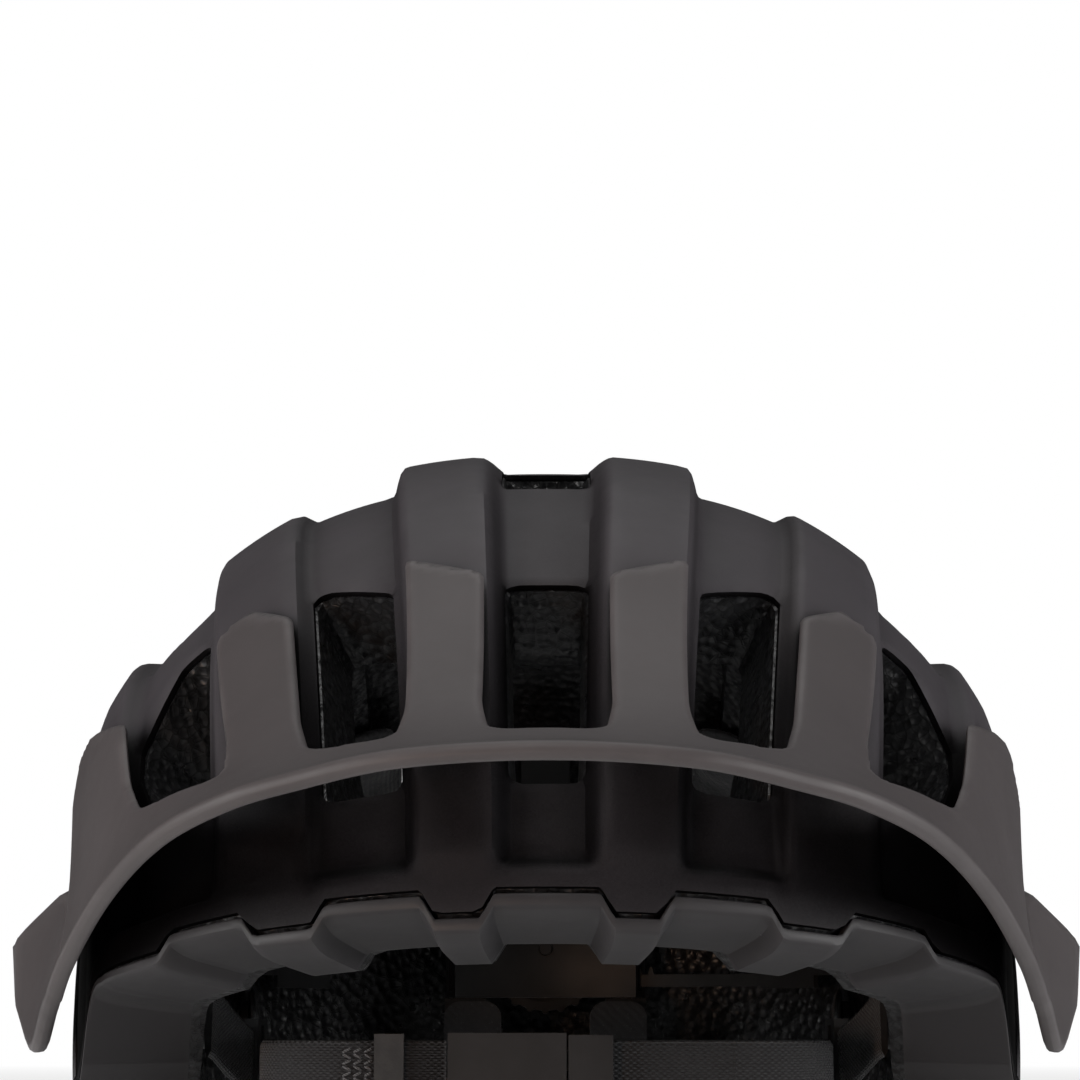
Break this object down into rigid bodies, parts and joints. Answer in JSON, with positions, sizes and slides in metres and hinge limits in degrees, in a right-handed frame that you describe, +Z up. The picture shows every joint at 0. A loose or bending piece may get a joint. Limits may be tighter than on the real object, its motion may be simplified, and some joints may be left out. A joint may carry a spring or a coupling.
{
  "type": "cycling helmet",
  "caption": "Matte dark trail-cycling helmet with long air vents, a fingered visor that tilts, a dial-adjusted fit cradle and a chin strap with a buckle",
  "frame": {"origin": "centre of the head opening, on the plane that the rim rests on", "axes": "+Z up, -Y towards the visor, +Y towards the nape, +X towards the right of a front view; x = 0 is the symmetry plane; at rest on its rim"},
  "size_m": [0.2324, 0.3256, 0.1466],
  "materials": {
    "shell": "fine matte polycarbonate, very dark grey",
    "lower_shell": "matte polycarbonate, dark grey",
    "foam": "expanded polystyrene with fused beads, near black",
    "visor": "soft-touch matte plastic, warm dark grey",
    "padding": "brushed knit over open-cell foam, black",
    "hook_fabric": "hook tape, dark grey",
    "webbing": "woven nylon webbing, black",
    "rubber": "moulded rubber, black",
    "steel": "plain steel",
    "lever_plastic": "glass-filled nylon, mid grey",
    "moulded_plastic": "moulded nylon, black"
  },
  "bodies": {
    "helmet": {"outer_shell": "shell", "lower_shell": "lower_shell", "foam_liner": "foam", "pivot_socket_left": "moulded_plastic", "pivot_socket_right": "moulded_plastic", "brow_pad": "padding", "crown_pads": "padding", "side_pad_left": "padding", "side_pad_right": "padding", "rear_pads": "padding", "hook_dots": "hook_fabric", "temple_arm_left": "moulded_plastic", "temple_arm_right": "moulded_plastic", "temple_anchors": "moulded_plastic", "hanger_guide": "moulded_plastic", "strap_anchors": "moulded_plastic", "front_strap_left": "webbing", "front_strap_right": "webbing", "rear_strap_left": "webbing", "rear_strap_right": "webbing", "divider_left": "moulded_plastic", "divider_right": "moulded_plastic"},
    "cradle": {"cradle_hanger": "moulded_plastic", "cradle_yoke": "moulded_plastic", "occiput_pads": "padding", "dial_housing_front": "moulded_plastic", "dial_housing_rear": "moulded_plastic"},
    "dial": {"dial_shaft": "moulded_plastic", "dial_knob": "moulded_plastic", "click_spring": "steel", "dial_screw": "steel"},
    "belt_left": {"headband_left": "moulded_plastic", "slide_pin_left": "steel"},
    "belt_right": {"headband_right": "moulded_plastic", "slide_pin_right": "steel"},
    "visor": {"visor": "visor", "visor_stud_left": "visor", "visor_stud_right": "visor"},
    "chin_loop": {"chin_strap_left": "webbing", "chin_strap_right": "webbing", "buckle_socket": "moulded_plastic"},
    "plug": {"buckle_plug": "moulded_plastic"},
    "keeper": {"strap_keeper": "rubber"},
    "lever_left": {"divider_lever_left": "lever_plastic"},
    "lever_right": {"divider_lever_right": "lever_plastic"}
  },
  "joints": [
    {"name": "visor_tilt", "type": "hinge", "parent": "helmet", "child": "visor", "pos_m": [0, -0.032, 0.04], "axis": [-1, 0, 0], "range_deg": [0, 10]},
    {"name": "cradle_tilt", "type": "hinge", "parent": "helmet", "child": "cradle", "pos_m": [0, -0.00531, 0.04], "axis": [1, 0, 0], "range_deg": [-4, 4]},
    {"name": "dial_turn", "type": "hinge", "parent": "cradle", "child": "dial", "pos_m": [0, 0.094, 0.04], "axis": [0, 1, 0], "range_deg": [0, 200]},
    {"name": "belt_left_pull", "type": "hinge", "parent": "cradle", "child": "belt_left", "pos_m": [0, 0.02, 0.04], "axis": [0, 0, -1], "range_deg": [0, 13.61]},
    {"name": "belt_right_pull", "type": "hinge", "parent": "cradle", "child": "belt_right", "pos_m": [0, 0.02, 0.04], "axis": [0, 0, 1], "range_deg": [0, 13.61]},
    {"name": "chin_loop_swing", "type": "hinge", "parent": "helmet", "child": "chin_loop", "pos_m": [0, 0.006, 0.0105], "axis": [1, 0, 0], "range_deg": [0, 80]},
    {"name": "buckle_slide", "type": "slide", "parent": "chin_loop", "child": "plug", "axis": [1, 0, 0], "range_m": [0, 0.016]},
    {"name": "keeper_slide", "type": "slide", "parent": "chin_loop", "child": "keeper", "axis": [1, 0, 0], "range_m": [0, 0.008]},
    {"name": "lever_left_flip", "type": "hinge", "parent": "helmet", "child": "lever_left", "pos_m": [-0.067, 0.006, 0.018], "axis": [-1, 0, 0], "range_deg": [0, 80]},
    {"name": "lever_right_flip", "type": "hinge", "parent": "helmet", "child": "lever_right", "pos_m": [0.067, 0.006, 0.018], "axis": [1, 0, 0], "range_deg": [0, 80]}
  ],
  "couplings": [
    {"joint": "belt_left_pull", "follows": "dial_turn", "ratio": 0.067568},
    {"joint": "belt_right_pull", "follows": "dial_turn", "ratio": 0.067568}
  ]
}
